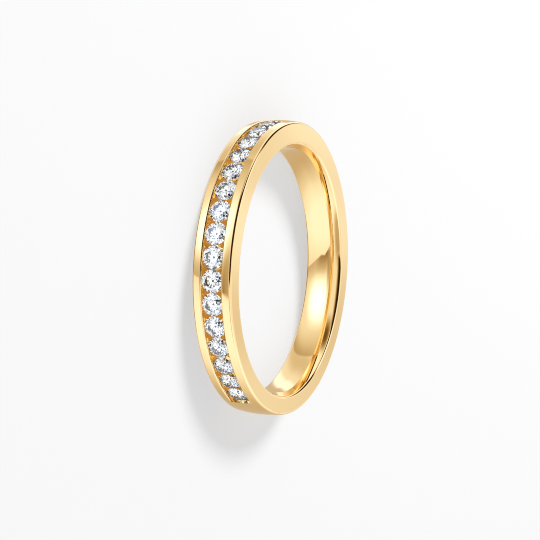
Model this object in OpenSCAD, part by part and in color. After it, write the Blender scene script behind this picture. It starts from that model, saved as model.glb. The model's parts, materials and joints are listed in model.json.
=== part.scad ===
// Channel set band: a finger ring lying on its side, with a row of round
// brilliants held in a channel along part of its outside.
// Millimetres. +Z is the axis of the outside, the origin is on that axis in the plane
// the ring lies on, and the middle of the stone row points along -Y.

/* [Band] */
// inner diameter at the narrowest line of the finger hole
finger_d = 16.9; // [14:0.1:22]
// radial thickness at mid width, where the finger hole is not offset
band_t = 1.7; // [1.65:0.05:2]
// how far the centre of the finger hole lies towards +X from the centre of the outside
hole_shift = 0.14; // [0:0.01:0.2]
// width of the band, along the finger
band_w = 2.75; // [2.55:0.05:3.4]
// radius of the arc that crowns the outside across its width
crown_r = 8; // [6:0.5:12]
// radius that eases the two outer edges
outer_ease = 0.18; // [0.05:0.01:0.2]
// radius of the arc that domes the inside towards the finger
dome_r = 3.2; // [2.8:0.1:4]
// width of the straight ring in the middle of the domed inside
land_w = 0.3; // [0.2:0.05:0.5]
// radius that rounds the two inner edges
inner_ease = 0.2; // [0.1:0.01:0.4]

/* [Channel] */
// clear width between the channel walls
channel_w = 1.42; // [1.38:0.01:1.44]
// radial depth of the channel floor below the top of the crown
channel_depth = 1.04; // [1.03:0.01:1.1]
// radius that breaks the lips of the rails
lip_ease = 0.1; // [0.03:0.005:0.1]
// angle left free beyond the last stone at each end
end_gap = 0.2; // [0.15:0.05:1]

/* [Stones] */
// girdle diameter of a stone
stone_d = 1.5; // [1.48:0.005:1.51]
// clearance between the girdles of neighbouring stones
stone_gap = 0.022; // [0.01:0.002:0.1]
// how far a table lies below the top of the crown
table_drop = 0.05; // [0.05:0.01:0.09]
// table width over girdle diameter
table_ratio = 0.57; // [0.53:0.01:0.62]
// crown angle
crown_angle = 34.5; // [32:0.5:36]
// pavilion angle
pavilion_angle = 40.8; // [40:0.2:41.6]
// clearance between a girdle and the seat groove
seat_gap = 0.015; // [0.01:0.005:0.03]

/* [Hidden] */
stone_count = 17;
r_in = finger_d / 2;
r_out = r_in + band_t;
half_w = band_w / 2;
half_c = channel_w / 2;
r_floor = r_out - channel_depth;

// outer edge rounding, tangent to the crown arc and to the side face
crown_c = r_out - crown_r;
oe_z = half_w - outer_ease;
oe_r = crown_c + sqrt(pow(crown_r - outer_ease, 2) - pow(oe_z, 2));
oe_k = crown_r / (crown_r - outer_ease);
otan_r = crown_c + (oe_r - crown_c) * oe_k;
otan_z = oe_z * oe_k;

// lip rounding, tangent to the crown arc and to the channel wall
lip_z = half_c + lip_ease;
lip_r = crown_c + sqrt(pow(crown_r - lip_ease, 2) - pow(lip_z, 2));
lip_k = crown_r / (crown_r - lip_ease) * 1.00001;
ltan_r = crown_c + (lip_r - crown_c) * lip_k;
ltan_z = lip_z * lip_k;

// inner edge rounding, tangent to the dome arc and to the side face
dome_c = r_in + dome_r;
ease_z = half_w - inner_ease;
ease_r = dome_c - sqrt(pow(dome_r - inner_ease, 2) - pow(ease_z - land_w / 2, 2));
ease_k = dome_r / (dome_r - inner_ease);
tan_r = dome_c + (ease_r - dome_c) * ease_k;
tan_z = land_w / 2 + (ease_z - land_w / 2) * ease_k;

// brilliant proportions, as lengths
sr = stone_d / 2;
table_r = table_ratio * sr;
crown_h = (sr - table_r) * tan(crown_angle);
girdle_t = 0.04 * sr;
pavilion_h = sr * tan(pavilion_angle);
star_r = (table_r * cos(22.5) + sr) / 2;
star_z = (sr - star_r * cos(22.5)) * tan(crown_angle);
low_r = 0.23 * sr;
low_z = -girdle_t - (sr - low_r * cos(22.5)) * tan(pavilion_angle);
girdle_r = r_out - table_drop - crown_h;
stone_pitch = 2 * asin((stone_d + stone_gap) / 2 / girdle_r);
channel_half = stone_pitch * stone_count / 2 + end_gap;

gold = [0.86, 0.66, 0.32];
clear = [0.9, 0.94, 0.98, 0.6];

$fn = 160;

// everything outside the crown arc, cut away
module crown_cut() {
    difference() {
        translate([r_out - 0.6, -half_w - 1]) square([1.6, band_w + 2]);
        translate([crown_c, 0]) circle(r = crown_r);
    }
}

// one outer corner, cut away to leave its rounding
module outer_corner() {
    difference() {
        polygon([[oe_r, oe_z], [otan_r + (otan_r - oe_r) * 0.001, otan_z],
                 [otan_r + 1, otan_z], [otan_r + 1, half_w + 1], [oe_r, half_w + 1]]);
        translate([oe_r, oe_z]) circle(r = outer_ease);
    }
}

// everything between the dome arc and the side face, cut away
module inner_corner() {
    difference() {
        translate([r_in - 1, land_w / 2]) square([1 + tan_r - r_in, tan_z - land_w / 2]);
        translate([dome_c, land_w / 2]) circle(r = dome_r);
    }
    difference() {
        polygon([[ease_r, ease_z], [tan_r + (tan_r - ease_r) * 0.001, tan_z],
                 [tan_r - 1, tan_z], [tan_r - 1, half_w + 1], [ease_r, half_w + 1]]);
        translate([ease_r, ease_z]) circle(r = inner_ease);
    }
}

module outside_section() {
    difference() {
        translate([0, -half_w]) square([r_out, band_w]);
        crown_cut();
        for (m = [0, 1]) mirror([0, m]) outer_corner();
    }
}

module bore_section() {
    translate([0, -half_w - 1]) square([r_in, band_w + 2]);
    for (m = [0, 1]) mirror([0, m]) inner_corner();
}

module channel_section() {
    translate([r_floor, -half_c]) square([channel_depth + 1, channel_w]);
    for (m = [0, 1]) mirror([0, m]) {
        difference() {
            polygon([[lip_r, half_c - 0.2], [lip_r + 1, half_c - 0.2], [lip_r + 1, ltan_z],
                     [ltan_r, ltan_z], [lip_r, lip_z]]);
            translate([lip_r, lip_z]) circle(r = lip_ease);
        }
        // seat groove for the girdles
        polygon([[girdle_r + 0.09, half_c - 0.1], [girdle_r + 0.09, half_c],
                 [girdle_r + 0.02, sr + seat_gap], [girdle_r - girdle_t - 0.02, sr + seat_gap],
                 [girdle_r - girdle_t - 0.1, half_c], [girdle_r - girdle_t - 0.1, half_c - 0.1]]);
    }
}

module band() {
    color(gold)
    translate([0, 0, half_w])
    difference() {
        rotate_extrude() outside_section();
        translate([hole_shift, 0, 0]) rotate_extrude() bore_section();
        rotate([0, 0, -90 - channel_half])
            rotate_extrude(angle = 2 * channel_half) channel_section();
    }
}

function ring_pt(r, a, z) = [r * cos(a), r * sin(a), z];

// points: table 0-7, stars 8-15, girdle top 16-31, girdle bottom 32-47,
// lower halves 48-55, culet 56
module brilliant() {
    pts = concat(
        [for (i = [0:7]) ring_pt(table_r, 45 * i, crown_h)],
        [for (i = [0:7]) ring_pt(star_r, 45 * i + 22.5, star_z)],
        [for (i = [0:15]) ring_pt(sr, 22.5 * i, 0)],
        [for (i = [0:15]) ring_pt(sr, 22.5 * i, -girdle_t)],
        [for (i = [0:7]) ring_pt(low_r, 45 * i + 22.5, low_z)],
        [[0, 0, -girdle_t - pavilion_h]]);
    faces = concat(
        [[for (i = [7:-1:0]) i]],
        [for (i = [0:7]) [i, (i + 1) % 8, 8 + i]],
        [for (i = [0:7]) [i, 8 + i, 16 + 2 * i, 8 + (i + 7) % 8]],
        [for (i = [0:7]) [8 + i, 17 + 2 * i, 16 + 2 * i]],
        [for (i = [0:7]) [8 + i, 16 + (2 * i + 2) % 16, 17 + 2 * i]],
        [for (i = [0:15]) [16 + i, 16 + (i + 1) % 16, 32 + (i + 1) % 16, 32 + i]],
        [for (i = [0:7]) [48 + i, 32 + 2 * i, 33 + 2 * i]],
        [for (i = [0:7]) [48 + i, 33 + 2 * i, 32 + (2 * i + 2) % 16]],
        [for (i = [0:7]) [56, 48 + (i + 7) % 8, 32 + 2 * i, 48 + i]]);
    polyhedron(points = pts, faces = [for (f = faces) [for (j = [len(f) - 1:-1:0]) f[j]]]);
}

// stone number k, counted from one end of the row
module stone(k) {
    a = (k - (stone_count + 1) / 2) * stone_pitch;
    color(clear)
    translate([0, 0, half_w])
    rotate([0, 0, a - 90])
    translate([girdle_r, 0, 0])
    rotate([0, 90, 0])
    brilliant();
}

module stone_01() stone(1);
module stone_02() stone(2);
module stone_03() stone(3);
module stone_04() stone(4);
module stone_05() stone(5);
module stone_06() stone(6);
module stone_07() stone(7);
module stone_08() stone(8);
module stone_09() stone(9);
module stone_10() stone(10);
module stone_11() stone(11);
module stone_12() stone(12);
module stone_13() stone(13);
module stone_14() stone(14);
module stone_15() stone(15);
module stone_16() stone(16);
module stone_17() stone(17);

band();
stone_01();
stone_02();
stone_03();
stone_04();
stone_05();
stone_06();
stone_07();
stone_08();
stone_09();
stone_10();
stone_11();
stone_12();
stone_13();
stone_14();
stone_15();
stone_16();
stone_17();
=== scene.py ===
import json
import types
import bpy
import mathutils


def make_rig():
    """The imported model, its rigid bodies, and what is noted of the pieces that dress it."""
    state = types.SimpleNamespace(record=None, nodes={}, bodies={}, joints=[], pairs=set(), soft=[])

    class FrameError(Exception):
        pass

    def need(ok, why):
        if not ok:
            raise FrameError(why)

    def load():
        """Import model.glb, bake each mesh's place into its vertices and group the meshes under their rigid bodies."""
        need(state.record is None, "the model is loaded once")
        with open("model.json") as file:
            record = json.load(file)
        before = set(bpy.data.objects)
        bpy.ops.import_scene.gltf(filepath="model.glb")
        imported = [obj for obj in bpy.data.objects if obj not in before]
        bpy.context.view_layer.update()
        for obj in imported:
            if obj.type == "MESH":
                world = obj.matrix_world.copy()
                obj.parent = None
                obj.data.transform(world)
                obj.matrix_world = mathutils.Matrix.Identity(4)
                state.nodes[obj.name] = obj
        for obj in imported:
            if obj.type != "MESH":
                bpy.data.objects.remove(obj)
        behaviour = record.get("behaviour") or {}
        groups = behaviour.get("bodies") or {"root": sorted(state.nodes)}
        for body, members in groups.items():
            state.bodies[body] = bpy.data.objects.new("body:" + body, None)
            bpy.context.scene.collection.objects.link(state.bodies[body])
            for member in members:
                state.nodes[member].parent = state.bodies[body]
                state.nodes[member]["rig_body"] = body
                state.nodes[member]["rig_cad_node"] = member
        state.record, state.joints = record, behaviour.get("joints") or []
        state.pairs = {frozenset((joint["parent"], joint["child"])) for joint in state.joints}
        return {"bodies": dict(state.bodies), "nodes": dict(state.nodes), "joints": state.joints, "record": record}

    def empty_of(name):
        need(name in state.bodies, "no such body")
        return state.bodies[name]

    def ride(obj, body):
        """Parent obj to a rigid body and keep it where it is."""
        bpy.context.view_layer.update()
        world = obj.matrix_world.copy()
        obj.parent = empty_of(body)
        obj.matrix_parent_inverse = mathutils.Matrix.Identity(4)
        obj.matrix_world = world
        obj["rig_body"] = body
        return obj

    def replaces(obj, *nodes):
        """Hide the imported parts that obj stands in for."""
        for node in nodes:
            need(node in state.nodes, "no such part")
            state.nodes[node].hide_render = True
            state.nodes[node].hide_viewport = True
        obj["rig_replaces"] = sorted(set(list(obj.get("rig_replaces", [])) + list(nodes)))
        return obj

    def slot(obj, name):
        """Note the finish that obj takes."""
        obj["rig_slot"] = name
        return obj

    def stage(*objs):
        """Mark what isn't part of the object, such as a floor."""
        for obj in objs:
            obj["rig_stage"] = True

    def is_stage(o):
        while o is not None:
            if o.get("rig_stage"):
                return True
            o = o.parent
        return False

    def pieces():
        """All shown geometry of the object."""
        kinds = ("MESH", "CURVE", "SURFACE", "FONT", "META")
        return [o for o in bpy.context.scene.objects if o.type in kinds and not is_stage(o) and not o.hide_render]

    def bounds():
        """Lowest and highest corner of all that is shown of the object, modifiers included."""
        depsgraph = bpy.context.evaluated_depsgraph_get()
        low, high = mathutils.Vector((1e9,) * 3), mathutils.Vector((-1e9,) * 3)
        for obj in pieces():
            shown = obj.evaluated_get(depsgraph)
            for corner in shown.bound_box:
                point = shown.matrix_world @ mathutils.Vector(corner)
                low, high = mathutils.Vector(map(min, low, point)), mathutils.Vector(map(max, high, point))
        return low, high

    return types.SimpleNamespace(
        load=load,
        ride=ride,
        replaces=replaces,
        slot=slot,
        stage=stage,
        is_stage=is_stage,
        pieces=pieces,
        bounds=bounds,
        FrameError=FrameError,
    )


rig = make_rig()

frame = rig.load()
import bpy, bmesh, math, json
from mathutils import Vector, Matrix

BOX_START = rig.bounds()
rad = math.radians
scene = bpy.context.scene

# ------------------------------------------------------------------ sizes, mm
R_IN, T, W, SHIFT, CROWN_R = 8.45, 1.7, 2.75, 0.14, 8.0
R_OUT, HW = R_IN + T, W / 2
OUTER_EASE, DOME_R, LAND, INNER_EASE = 0.18, 3.2, 0.3, 0.2
HC, DEPTH, LIP, END_GAP = 0.71, 1.04, 0.1, 0.2
SR, GAP, COUNT = 0.75, 0.022, 17
TABLE, CROWN, PAV, DROP, SEAT, CULET = 0.57, 34.5, 40.8, 0.05, 0.015, 0.09
CROWN_H = (SR - TABLE * SR) * math.tan(rad(CROWN))
GIRDLE_T = 0.04 * SR
R_GIRDLE = R_OUT - DROP - CROWN_H
PITCH = 2 * math.degrees(math.asin((2 * SR + GAP) / 2 / R_GIRDLE))
CH_HALF = PITCH * COUNT / 2 + END_GAP
MM = 0.001

# ------------------------------------------------------------------ materials
def node(nt, kind, **kw):
    n = nt.nodes.new(kind)
    for k, v in kw.items():
        setattr(n, k, v)
    return n

def new_mat(name):
    m = bpy.data.materials.new(name)
    m.use_nodes = True
    nt = m.node_tree
    nt.nodes.clear()
    out = node(nt, "ShaderNodeOutputMaterial")
    return m, nt, out

def gold_material(name, base, deep, rough_lo, rough_hi, bump, glow=0.0):
    m, nt, out = new_mat(name)
    p = node(nt, "ShaderNodeBsdfPrincipled")
    p.inputs["Metallic"].default_value = 1.0
    if glow:  # painted light: this glow stands for the many bounces of light between floor and stones
        p.inputs["Emission Color"].default_value = (1.0, 0.60, 0.16, 1)
        p.inputs["Emission Strength"].default_value = glow
    co = node(nt, "ShaderNodeTexCoord")
    # slow change of tone over the metal, a few millimetres wide
    slow = node(nt, "ShaderNodeTexNoise")
    slow.inputs["Scale"].default_value = 240.0
    slow.inputs["Detail"].default_value = 2.0
    nt.links.new(co.outputs["Object"], slow.inputs["Vector"])
    mix = node(nt, "ShaderNodeMix", data_type="RGBA")
    mix.inputs[6].default_value = (*base, 1)
    mix.inputs[7].default_value = (*deep, 1)
    nt.links.new(slow.outputs["Fac"], mix.inputs[0])
    nt.links.new(mix.outputs[2], p.inputs["Base Color"])
    # polishing haze
    haze = node(nt, "ShaderNodeTexNoise")
    haze.inputs["Scale"].default_value = 2600.0
    haze.inputs["Detail"].default_value = 5.0
    haze.inputs["Roughness"].default_value = 0.6
    nt.links.new(co.outputs["Object"], haze.inputs["Vector"])
    mr = node(nt, "ShaderNodeMapRange")
    mr.inputs["To Min"].default_value = rough_lo
    mr.inputs["To Max"].default_value = rough_hi
    nt.links.new(haze.outputs["Fac"], mr.inputs["Value"])
    nt.links.new(mr.outputs["Result"], p.inputs["Roughness"])
    b = node(nt, "ShaderNodeBump")
    b.inputs["Strength"].default_value = bump
    b.inputs["Distance"].default_value = 0.000004
    nt.links.new(haze.outputs["Fac"], b.inputs["Height"])
    nt.links.new(b.outputs["Normal"], p.inputs["Normal"])
    nt.links.new(p.outputs[0], out.inputs["Surface"])
    return m

def stone_material(name, kind):
    """Crown facets let light in and out; pavilion facets send it back, as they do in a well-cut stone;
    the culet gets a near-black mirror colour, painted shade for the dark dot that its small window shows."""
    m, nt, out = new_mat(name)
    co = node(nt, "ShaderNodeTexCoord")
    tint = node(nt, "ShaderNodeTexNoise")
    tint.inputs["Scale"].default_value = 900.0
    nt.links.new(co.outputs["Object"], tint.inputs["Vector"])
    mix = node(nt, "ShaderNodeMix", data_type="RGBA")
    # painted shade: the culet's colour is near black, standing in for the dark dot its window shows
    lo, hi = {"crown": ((1.0, 1.0, 1.0), (0.93, 0.965, 1.0)), "pavilion": ((1.0, 1.0, 1.0), (0.96, 0.98, 1.0)),
              "culet": ((0.02, 0.025, 0.04), (0.05, 0.06, 0.09))}[kind]
    mix.inputs[6].default_value = (*lo, 1)
    mix.inputs[7].default_value = (*hi, 1)
    nt.links.new(tint.outputs["Fac"], mix.inputs[0])
    if kind == "crown":
        g = node(nt, "ShaderNodeBsdfGlass")
        g.inputs["IOR"].default_value = 2.417
    else:
        g = node(nt, "ShaderNodeBsdfGlossy")
    g.inputs["Roughness"].default_value = 0.0
    nt.links.new(mix.outputs[2], g.inputs["Color"])
    nt.links.new(g.outputs[0], out.inputs["Surface"])
    return m

GOLD = gold_material("polished_gold", (1.0, 0.765, 0.41), (0.99, 0.735, 0.36), 0.02, 0.05, 0.1)
# the channel gold carries painted light: an orange emission glow of strength 0.14
SEATGOLD = gold_material("channel_gold", (0.99, 0.77, 0.36), (0.9, 0.62, 0.24), 0.05, 0.13, 1.2, glow=0.14)
STONES = [stone_material("stone_" + k, k) for k in ("crown", "pavilion", "culet")]

# ------------------------------------------------------------------ the band
def arc(cx, cz, r, a0, a1, n):
    """Points of an arc in the (radius, height) plane with the outward normal of a convex corner."""
    pts = []
    for i in range(n + 1):
        a = rad(a0 + (a1 - a0) * i / n)
        pts.append(((cx + r * math.cos(a), cz + r * math.sin(a)), (math.cos(a), math.sin(a))))
    return pts

def line(p, q, nrm, n=1):
    return [((p[0] + (q[0] - p[0]) * i / n, p[1] + (q[1] - p[1]) * i / n), nrm) for i in range(n + 1)]

def inner_half():
    """Upper half of the inside, from the land to the side face."""
    cx = R_IN + DOME_R
    ez = HW - INNER_EASE
    er = cx - math.sqrt((DOME_R - INNER_EASE) ** 2 - (ez - LAND / 2) ** 2)
    a_t = math.degrees(math.atan2(ez - LAND / 2, er - cx))
    return arc(cx, LAND / 2, DOME_R, 180, a_t, 20), arc(er, ez, INNER_EASE, a_t, 90, 8), er

def flip(seg):
    return [((p[0], -p[1]), (n[0], -n[1])) for p, n in reversed(seg)]

dome, ease, er = inner_half()
RC = R_OUT - CROWN_R
def on_crown(z, ease):
    """Centre of a rounding of radius ease that touches the crown arc, and the angle where it does."""
    r = RC + math.sqrt((CROWN_R - ease) ** 2 - z ** 2)
    return r, math.degrees(math.atan2(z, r - RC))
oe_r, oe_a = on_crown(HW - OUTER_EASE, OUTER_EASE)
lip_r, lip_a = on_crown(HC + LIP, LIP)
oe = arc(oe_r, HW - OUTER_EASE, OUTER_EASE, 90, oe_a, 12)
side_up = line((er, HW), (oe_r, HW), (0, 1), 3)
rail = arc(RC, 0, CROWN_R, oe_a, lip_a, 4)
lip = arc(lip_r, HC + LIP, LIP, lip_a, -90, 8)
gr_t, gr_b = R_GIRDLE + 0.09, R_GIRDLE - GIRDLE_T - 0.1
g1, g2, gz = R_GIRDLE + 0.02, R_GIRDLE - GIRDLE_T - 0.02, SR + SEAT
FL = R_OUT - DEPTH
def nl(p, q):
    d = (q[0] - p[0], q[1] - p[1]); l = math.hypot(*d)
    return (-d[1] / l, d[0] / l)
wall = [line((lip_r, HC), (gr_t, HC), (0, -1), 1)]
for p, q in (((gr_t, HC), (g1, gz)), ((g1, gz), (g2, gz)), ((g2, gz), (gr_b, HC)), ((gr_b, HC), (FL, HC))):
    n_ = nl(p, q)
    if n_[1] > 0:
        n_ = (-n_[0], -n_[1])
    wall.append(line(p, q, n_, 1))
floor_seg = line((FL, HC), (FL, -HC), (1, 0), 2)

notch = [lip] + wall + [floor_seg] + [flip(s) for s in reversed(wall)] + [flip(lip)]
plain_top = [arc(RC, 0, CROWN_R, lip_a, -lip_a, 10)]
common_a = [flip(dome), line((R_IN, -LAND / 2), (R_IN, LAND / 2), (-1, 0), 1), dome, ease, side_up, oe, rail]
common_b = [flip(rail), flip(oe), flip(side_up), flip(ease)]

def build_band(name, steps_plain=300, steps_ch=280):
    verts, faces, norms, mats = [], [], [], []
    index, known = {}, []
    def which(p):
        """Number of a profile point; points closer than 0.2 micrometres are one."""
        for i, q in enumerate(known):
            if abs(p[0] - q[0]) + abs(p[1] - q[1]) < 2e-4:
                return i
        known.append(p)
        return len(known) - 1
    def vid(p, j):
        i = which(p)
        if (i, j) not in index:
            p = known[i]
            a = ANG[j]
            # the finger hole is off centre; the side faces run from its edge to the outer one
            off = 1.0 if p[0] < er + 1e-4 else (oe_r - p[0]) / (oe_r - er) if abs(p[1]) > HW - 1e-4 else 0.0
            index[(i, j)] = len(verts)
            verts.append(((p[0] * math.cos(a) + off * SHIFT) * MM, p[0] * math.sin(a) * MM, (p[1] + HW) * MM))
        return index[(i, j)]
    a0, a1 = rad(-90 - CH_HALF), rad(-90 + CH_HALF)
    ANG = [a0 + (a1 - a0) * i / steps_ch for i in range(steps_ch + 1)]
    ANG += [a1 + (2 * math.pi - (a1 - a0)) * i / steps_plain for i in range(1, steps_plain)]
    N = len(ANG)
    def sweep(seg, j0, j1, m):
        for j in range(j0, j1):
            ja, jb = j % N, (j + 1) % N
            for (p, n), (q, k) in zip(seg, seg[1:]):
                if math.hypot(p[0] - q[0], p[1] - q[1]) < 2e-4:
                    continue
                f = (vid(p, ja), vid(p, jb), vid(q, jb), vid(q, ja))
                faces.append(f)
                mats.append(m)
                for nn, jj in ((n, ja), (n, jb), (k, jb), (k, ja)):
                    a = ANG[jj]
                    norms.append((nn[0] * math.cos(a), nn[0] * math.sin(a), nn[1]))
    for seg in common_a + common_b:
        sweep(seg, 0, N, 0)
    for seg in plain_top:
        sweep(seg, steps_ch, N, 0)
    for i, seg in enumerate(notch):
        sweep(seg, 0, steps_ch, 0 if i in (0, len(notch) - 1) else 1)
    # flat end walls
    outline = []
    for seg in notch:
        for p, n in seg:
            if not outline or math.hypot(p[0] - outline[-1][0], p[1] - outline[-1][1]) > 2e-4:
                outline.append(p)
    top = [p for p, n in plain_top[0]][1:-1]
    for j, sign in ((0, 1), (steps_ch, -1)):
        ring_ = [vid(p, j) for p in outline] + [vid(p, j) for p in reversed(top)]
        a = ANG[j]
        nn = (-math.sin(a) * sign, math.cos(a) * sign, 0)
        faces.append(tuple(ring_ if sign < 0 else reversed(ring_)))
        mats.append(0)
        norms.extend([nn] * len(ring_))
    me = bpy.data.meshes.new(name)
    me.from_pydata(verts, [], faces)
    me.materials.append(GOLD)
    me.materials.append(SEATGOLD)
    me.polygons.foreach_set("material_index", mats)
    me.polygons.foreach_set("use_smooth", [True] * len(faces))
    # make every face look along its own normals
    flipit = []
    me.update()
    k = 0
    for poly in me.polygons:
        want = Vector(norms[k])
        k += len(poly.vertices)
        if poly.normal.dot(want) < 0:
            flipit.append(poly.index)
    if flipit:
        fixed, nn2, k = [], [], 0
        fs = set(flipit)
        for i, f in enumerate(faces):
            L = len(f)
            nf = norms[k:k + L]
            k += L
            if i in fs:
                f = tuple(reversed(f)); nf = list(reversed(nf))
            fixed.append(f); nn2.extend(nf)
        bpy.data.meshes.remove(me)
        me = bpy.data.meshes.new(name)
        me.from_pydata(verts, [], fixed)
        me.materials.append(GOLD); me.materials.append(SEATGOLD)
        me.polygons.foreach_set("material_index", mats)
        me.polygons.foreach_set("use_smooth", [True] * len(fixed))
        norms = nn2
    me.validate()
    me.update()
    me.normals_split_custom_set([Vector(n).normalized() for n in norms])
    o = bpy.data.objects.new(name, me)
    scene.collection.objects.link(o)
    return o

band = build_band("band_polished")
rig.replaces(band, "band")
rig.slot(band, "gold")
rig.ride(band, "root")

# ------------------------------------------------------------------ the stones
def plane3(p, q, r):
    n = (q - p).cross(r - p).normalized()
    if n.dot(p) < 0:
        n = -n
    return p, n

def brilliant_mesh(name):
    """A round brilliant cut from a smooth round blank, girdle top at z = 0."""
    P = lambda r, a, z: Vector((r * math.cos(rad(a)), r * math.sin(rad(a)), z))
    tr = TABLE * SR
    hc = CROWN_H
    star_r = (tr * math.cos(rad(22.5)) + SR) / 2
    star_z = (SR - star_r * math.cos(rad(22.5))) * math.tan(rad(CROWN))
    low_r = 0.23 * SR
    tp = math.tan(rad(PAV))
    low_z = -GIRDLE_T - (SR - low_r * math.cos(rad(22.5))) * tp
    cuts = [(Vector((0, 0, hc)), Vector((0, 0, 1)))]
    for i in range(8):
        a = 45 * i
        n = Vector((math.sin(rad(CROWN)), 0, math.cos(rad(CROWN))))
        n.rotate(Matrix.Rotation(rad(a), 3, "Z"))
        cuts.append((P(SR, a, 0), n))
        cuts.append(plane3(P(tr, a, hc), P(tr, a + 45, hc), P(star_r, a + 22.5, star_z)))
        n = Vector((math.sin(rad(PAV)), 0, -math.cos(rad(PAV))))
        n.rotate(Matrix.Rotation(rad(a), 3, "Z"))
        cuts.append((P(SR, a, -GIRDLE_T), n))
        for s in (-1, 1):
            cuts.append(plane3(P(star_r, a + 22.5, star_z), P(SR, a + 22.5, 0), P(SR, a + 22.5 + s * 22.5, 0)))
            cuts.append(plane3(P(low_r, a + 22.5, low_z), P(SR, a + 22.5, -GIRDLE_T), P(SR, a + 22.5 + s * 22.5, -GIRDLE_T)))
    culet_z = -GIRDLE_T - (1 - CULET) * SR * tp
    cuts.append((Vector((0, 0, culet_z)), Vector((0, 0, -1))))
    bm = bmesh.new()
    bmesh.ops.create_cone(bm, cap_ends=True, segments=96, radius1=SR, radius2=SR, depth=2.0)
    for co, no in cuts:
        r = bmesh.ops.bisect_plane(bm, geom=bm.verts[:] + bm.edges[:] + bm.faces[:], dist=1e-6,
                                   plane_co=co, plane_no=no, clear_outer=True)
        open_e = [e for e in bm.edges if e.is_boundary]
        if open_e:
            bmesh.ops.edgeloop_fill(bm, edges=open_e)
    bmesh.ops.remove_doubles(bm, verts=bm.verts[:], dist=2e-5)
    bmesh.ops.recalc_face_normals(bm, faces=bm.faces[:])
    me = bpy.data.meshes.new(name)
    for f in bm.faces:
        z = f.calc_center_median().z
        f.material_index = 2 if z < culet_z + 1e-3 else 1 if z < -GIRDLE_T * 0.98 else 0
    bm.to_mesh(me)
    bm.free()
    return me

master = brilliant_mesh("brilliant_master")
stones = []
for k in range(1, COUNT + 1):
    a = (k - (COUNT + 1) / 2) * PITCH - 90
    me = master.copy()
    me.name = f"brilliant_{k:02d}"
    M = (Matrix.Scale(MM, 4) @ Matrix.Translation((0, 0, HW)) @ Matrix.Rotation(rad(a), 4, "Z")
         @ Matrix.Translation((R_GIRDLE, 0, 0)) @ Matrix.Rotation(rad(90), 4, "Y"))
    me.transform(M)
    for sm in STONES:
        me.materials.append(sm)
    o = bpy.data.objects.new(f"brilliant_{k:02d}", me)
    scene.collection.objects.link(o)
    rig.replaces(o, f"stone_{k:02d}")
    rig.slot(o, "stone")
    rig.ride(o, "root")
    stones.append(o)
bpy.data.meshes.remove(master)

# ------------------------------------------------------------------ floor
fm = bpy.data.meshes.new("floor")
S = 3.0
fm.from_pydata([(-S, -S, 0), (S, -S, 0), (S, S, 0), (-S, S, 0)], [], [(0, 1, 2, 3)])
floor = bpy.data.objects.new("floor", fm)
scene.collection.objects.link(floor)
m, nt, out = new_mat("pale_floor")
d = node(nt, "ShaderNodeBsdfDiffuse")
co = node(nt, "ShaderNodeTexCoord")
grain = node(nt, "ShaderNodeTexNoise")
grain.inputs["Scale"].default_value = 400.0
nt.links.new(co.outputs["Object"], grain.inputs["Vector"])
mx = node(nt, "ShaderNodeMix", data_type="RGBA")
mx.inputs[6].default_value = (0.30, 0.30, 0.30, 1)
mx.inputs[7].default_value = (0.305, 0.305, 0.305, 1)
nt.links.new(grain.outputs["Fac"], mx.inputs[0])
nt.links.new(mx.outputs[2], d.inputs["Color"])
glow = node(nt, "ShaderNodeEmission")
glow.inputs["Color"].default_value = (1, 1, 1, 1)
glow.inputs["Strength"].default_value = 0.495
add = node(nt, "ShaderNodeAddShader")
nt.links.new(d.outputs[0], add.inputs[0])
nt.links.new(glow.outputs[0], add.inputs[1])
nt.links.new(add.outputs[0], out.inputs["Surface"])
fm.materials.append(m)
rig.stage(floor)
floor.visible_glossy = False
floor.visible_transmission = False

# ------------------------------------------------------------------ light
CAM_AZ = 11.14
w = bpy.data.worlds.new("studio")
scene.world = w
w.use_nodes = True
nt = w.node_tree
nt.nodes.clear()
wout = node(nt, "ShaderNodeOutputWorld")
bg = node(nt, "ShaderNodeBackground")
nt.links.new(bg.outputs[0], wout.inputs["Surface"])
tc = node(nt, "ShaderNodeTexCoord")
rot = node(nt, "ShaderNodeVectorRotate", rotation_type="Z_AXIS")
rot.inputs["Angle"].default_value = rad(-CAM_AZ)
nt.links.new(tc.outputs["Generated"], rot.inputs["Vector"])
DIRV = rot.outputs[0]

def math_(op, a, b=None, c=None):
    n = node(nt, "ShaderNodeMath", operation=op)
    for i, v in enumerate((a, b, c)):
        if v is None:
            continue
        if isinstance(v, (int, float)):
            n.inputs[i].default_value = v
        else:
            nt.links.new(v, n.inputs[i])
    return n.outputs[0]

def smooth(v, lo, hi):
    n = node(nt, "ShaderNodeMapRange", interpolation_type="SMOOTHSTEP")
    n.inputs["From Min"].default_value = lo
    n.inputs["From Max"].default_value = hi
    nt.links.new(v, n.inputs["Value"])
    return n.outputs["Result"]

def direction(az, el):
    """az 0 is towards the camera, el is above the floor."""
    return (math.sin(rad(az)) * math.cos(rad(el)), -math.cos(rad(az)) * math.cos(rad(el)), math.sin(rad(el)))

sep = node(nt, "ShaderNodeSeparateXYZ")
nt.links.new(DIRV, sep.inputs[0])
X, Y, Z = sep.outputs["X"], sep.outputs["Y"], sep.outputs["Z"]
EL = math_("MULTIPLY", math_("ARCSINE", Z), 180 / math.pi)

def from_az(a0):
    """Azimuth in degrees counted from a0, without a seam near it."""
    s0, c0 = math.sin(rad(a0)), math.cos(rad(a0))
    f = math_("SUBTRACT", math_("MULTIPLY", X, s0), math_("MULTIPLY", Y, c0))
    r = math_("ADD", math_("MULTIPLY", X, c0), math_("MULTIPLY", Y, s0))
    return math_("MULTIPLY", math_("ARCTAN2", r, f), 180 / math.pi)

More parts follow.
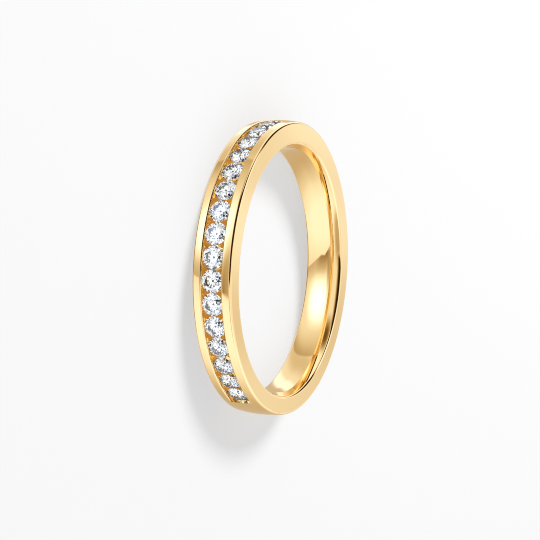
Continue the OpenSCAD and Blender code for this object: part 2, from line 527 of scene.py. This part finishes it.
def card(az, el, hw, hh, soft, lean=0.0):
    """A soft oval patch of the surroundings, half sizes in degrees, softness as a share of the size."""
    dx, dy = from_az(az), math_("SUBTRACT", EL, el)
    if lean:
        dx = math_("SUBTRACT", dx, math_("MULTIPLY", dy, lean))
    qx = math_("POWER", math_("ABSOLUTE", math_("DIVIDE", dx, hw)), 2.2)
    qy = math_("POWER", math_("ABSOLUTE", math_("DIVIDE", dy, hh)), 2.2)
    return math_("SUBTRACT", 1.0, smooth(math_("POWER", math_("ADD", qx, qy), 0.4545), 1 - soft, 1 + soft))

def value(v):
    n = node(nt, "ShaderNodeValue")
    n.outputs[0].default_value = v
    return n.outputs[0]

level = value(0.97)
# (azimuth, elevation, half width, half height, softness, gain, lean): cards that add light
for (az, el, hw, hh, soft, gain, lean) in (
        (180, 26, 70, 18, 0.5, 0.1, 0),
        (-28, -26, 18, 18, 0.85, 1.1, 0),
        (52, -20, 32, 42, 0.6, 0.3, 0),
        (-140, -24, 10, 22, 0.4, 0.35, 0),
        (-122, 4, 38, 9, 0.5, 0.45, 0),
        (92, 42, 52, 17, 0.6, 0.4, 0),
        (-146, 54, 30, 10, 0.5, 0.45, 0)):
    level = math_("ADD", level, math_("MULTIPLY", card(az, el, hw, hh, soft, lean), gain))
# flags that hold light back
for (az, el, hw, hh, soft, cut, lean) in (
        (-99, -26, 14, 34, 0.8, 0.24, 0),
        (142, -30, 34, 34, 0.7, 0.36, 0),
        (-163, -24, 11, 26, 0.6, 0.32, 0),
        (36, 14, 24, 9, 0.5, 0.5, 0),
        (-59, 6, 14, 8, 0.8, 0.84, 0),
        (174, 22, 7, 9, 0.9, 0.16, 0),
        (0, -90, 400, 26, 0.2, 0.65, 0)):
    level = math_("MULTIPLY", level, math_("SUBTRACT", 1.0, math_("MULTIPLY", card(az, el, hw, hh, soft, lean), cut)))
# the wall behind the ring is not quite even
uneven = node(nt, "ShaderNodeTexNoise")
uneven.inputs["Scale"].default_value = 13.0
uneven.inputs["Detail"].default_value = 0.0
nt.links.new(DIRV, uneven.inputs["Vector"])
behind = math_("MULTIPLY", card(180, 24, 30, 18, 0.5), math_("SUBTRACT", smooth(uneven.outputs["Fac"], 0.3, 0.7), 0.55))
level = math_("ADD", level, math_("MULTIPLY", behind, 0.24))
# a dark bank above the ring: a long arc in azimuth, ending on the right at the slanting edge below
az_r = from_az(0)
bank = math_("MULTIPLY", smooth(az_r, -168, -150), math_("SUBTRACT", 1.0, smooth(az_r, 14, 19)))
# thinner over part of its length, and cut away high up at its left end
thin = math_("MULTIPLY", smooth(az_r, -122, -100), math_("SUBTRACT", 1.0, smooth(az_r, -68, -46)))
bank = math_("MULTIPLY", bank, smooth(math_("SUBTRACT", EL, math_("MULTIPLY", thin, 21.0)), 11, 18))
cutaway = math_("MULTIPLY", smooth(EL, 38, 46), math_("SUBTRACT", 1.0, smooth(az_r, -126, -106)))
bank = math_("MULTIPLY", bank, math_("SUBTRACT", 1.0, cutaway))
bank = math_("MULTIPLY", bank, math_("SUBTRACT", 1.0, smooth(EL, 79, 86)))
level = math_("MULTIPLY", level, math_("SUBTRACT", 1.0, math_("MULTIPLY", bank, 0.97)))
# one slanting edge that runs across the inside of the ring, bright above it and dim below
lift = math_("ADD", EL, 24.0)
slant = math_("ADD", math_("MULTIPLY", math_("MINIMUM", math_("MAXIMUM", lift, 0.0), 17.0), 0.56),
              math_("MULTIPLY", math_("MINIMUM", lift, 0.0), 0.26))
t = math_("SUBTRACT", from_az(16.0), slant)
t = math_("DIVIDE", t, math_("ADD", 1.0, math_("MULTIPLY", smooth(EL, -16, -9), 2.2)))
deep = math_("ADD", 0.36, math_("MULTIPLY", smooth(EL, -42, -15), 0.38))
deep = math_("MULTIPLY", deep, math_("SUBTRACT", 1.0, math_("MULTIPLY", smooth(EL, -15, -9), 0.25)))
edge = math_("MULTIPLY", smooth(t, -27, 3), math_("SUBTRACT", 1.0, smooth(t, -1.2, 1.2)))
edge = math_("MULTIPLY", math_("MULTIPLY", edge, deep), math_("SUBTRACT", 1.0, smooth(EL, -7, -1)))
level = math_("MULTIPLY", level, math_("SUBTRACT", 1.0, edge))
# a second, weaker edge to the left of it, dim on its right side
t2 = math_("SUBTRACT", from_az(-90), math_("MULTIPLY", math_("MAXIMUM", math_("MINIMUM", lift, 16.0), -20.0), 0.35))
second = math_("MULTIPLY", smooth(t2, -1.5, 2), math_("SUBTRACT", 1.0, smooth(t2, 2, 38)))
second = math_("MULTIPLY", second, math_("SUBTRACT", 1.0, smooth(EL, -8, -2)))
level = math_("MULTIPLY", level, math_("SUBTRACT", 1.0, math_("MULTIPLY", second, 0.3)))

# the stones sparkle against a busier surround: bright panels with small dark gaps between them
busy = node(nt, "ShaderNodeTexNoise")
busy.inputs["Scale"].default_value = 3.4
busy.inputs["Detail"].default_value = 1.0
nt.links.new(DIRV, busy.inputs["Vector"])
gaps = node(nt, "ShaderNodeTexVoronoi")
gaps.inputs["Scale"].default_value = 4.6
nt.links.new(DIRV, gaps.inputs["Vector"])
panels = math_("ADD", 0.74, math_("MULTIPLY", smooth(busy.outputs["Fac"], 0.36, 0.56), 0.85))
panels = math_("MULTIPLY", panels, math_("ADD", 0.05, math_("MULTIPLY", smooth(gaps.outputs["Distance"], 0.27, 0.36), 0.97)))
path = node(nt, "ShaderNodeLightPath")
pick = node(nt, "ShaderNodeMix", data_type="FLOAT")
nt.links.new(path.outputs["Is Transmission Ray"], pick.inputs[0])
nt.links.new(level, pick.inputs[2])
nt.links.new(panels, pick.inputs[3])
nt.links.new(pick.outputs[0], bg.inputs["Strength"])
# dim parts of the room are warm, bright ones are neutral
warm = node(nt, "ShaderNodeValToRGB")
ramp = warm.color_ramp
for i, (pos, col) in enumerate(((0.05, (1.0, 0.56, 0.14)), (0.3, (1.0, 0.68, 0.31)), (0.6, (1.0, 0.83, 0.6)), (0.85, (1.0, 0.94, 0.85)), (1.0, (1.0, 1.0, 1.0)))):
    e = ramp.elements[i] if i < 2 else ramp.elements.new(pos)
    e.position = pos
    e.color = (*col, 1)
nt.links.new(math_("MAXIMUM", level, path.outputs["Is Transmission Ray"]), warm.inputs[0])
cool = node(nt, "ShaderNodeMix")
cool.data_type = "RGBA"
nt.links.new(math_("MULTIPLY", smooth(level, 0.98, 1.7), math_("SUBTRACT", 1.0, path.outputs["Is Transmission Ray"])), cool.inputs[0])
nt.links.new(warm.outputs["Color"], cool.inputs[6])
cool.inputs[7].default_value = (0.88, 0.95, 1.25, 1)
nt.links.new(cool.outputs[2], bg.inputs["Color"])

def area(name, az, el, dist, size, energy, color=(1, 1, 1)):
    L = bpy.data.lights.new(name, "AREA")
    L.shape = "DISK"; L.size = size; L.energy = energy; L.color = color
    o = bpy.data.objects.new(name, L)
    scene.collection.objects.link(o)
    d = Matrix.Rotation(rad(CAM_AZ), 3, "Z") @ Vector(direction(az, el))
    o.location = d * dist
    o.rotation_euler = d.to_track_quat("Z", "Y").to_euler()
    return o

key = area("key", -112, 38, 0.5, 0.16, 3.5)
key.visible_glossy = False   # the polished gold reflects the cards of the room, not this lamp
key.visible_transmission = False

# ------------------------------------------------------------------ camera
PHI, ROLL, DIST, F_PX, OX, OY = 24.24, -3.49, 111.65, 1617.7, 276.1, 267.6
d = Vector((0, -math.cos(rad(PHI)), math.sin(rad(PHI))))
r = Vector((0, 0, 1)) - d * d.z
r.normalize()
u = d.cross(r)
c_, s_ = math.cos(rad(ROLL)), math.sin(rad(ROLL))
r2, u2 = c_ * r - s_ * u, s_ * r + c_ * u
C = d * DIST - r2 * (OX - 270) * DIST / F_PX + u2 * (OY - 270) * DIST / F_PX
Rz = Matrix.Rotation(rad(CAM_AZ), 4, "Z")
M = Matrix((( r2.x, u2.x, d.x, C.x), (r2.y, u2.y, d.y, C.y), (r2.z, u2.z, d.z, C.z), (0, 0, 0, 1)))
M = Matrix.Translation((0, 0, HW * MM)) @ Rz @ Matrix.Translation((M.translation * MM)) @ M.to_3x3().to_4x4()
cd = bpy.data.cameras.new("camera")
cd.sensor_width = 36.0
cd.lens = F_PX * 36.0 / 540.0
cd.clip_start = 0.001
cam = bpy.data.objects.new("camera", cd)
cam.matrix_world = M
scene.collection.objects.link(cam)
scene.camera = cam

scene.view_settings.view_transform = "Standard"
scene.view_settings.look = "None"
scene.cycles.filter_width = 1.1

BOX_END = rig.bounds()
def plain(b):
    return [[float(x) for x in v] for v in b]
try:
    with open("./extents.json", "w") as f:
        json.dump({"start": plain(BOX_START), "end": plain(BOX_END)}, f)
except TypeError:
    with open("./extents.json", "w") as f:
        json.dump({"start": str(BOX_START), "end": str(BOX_END)}, f)
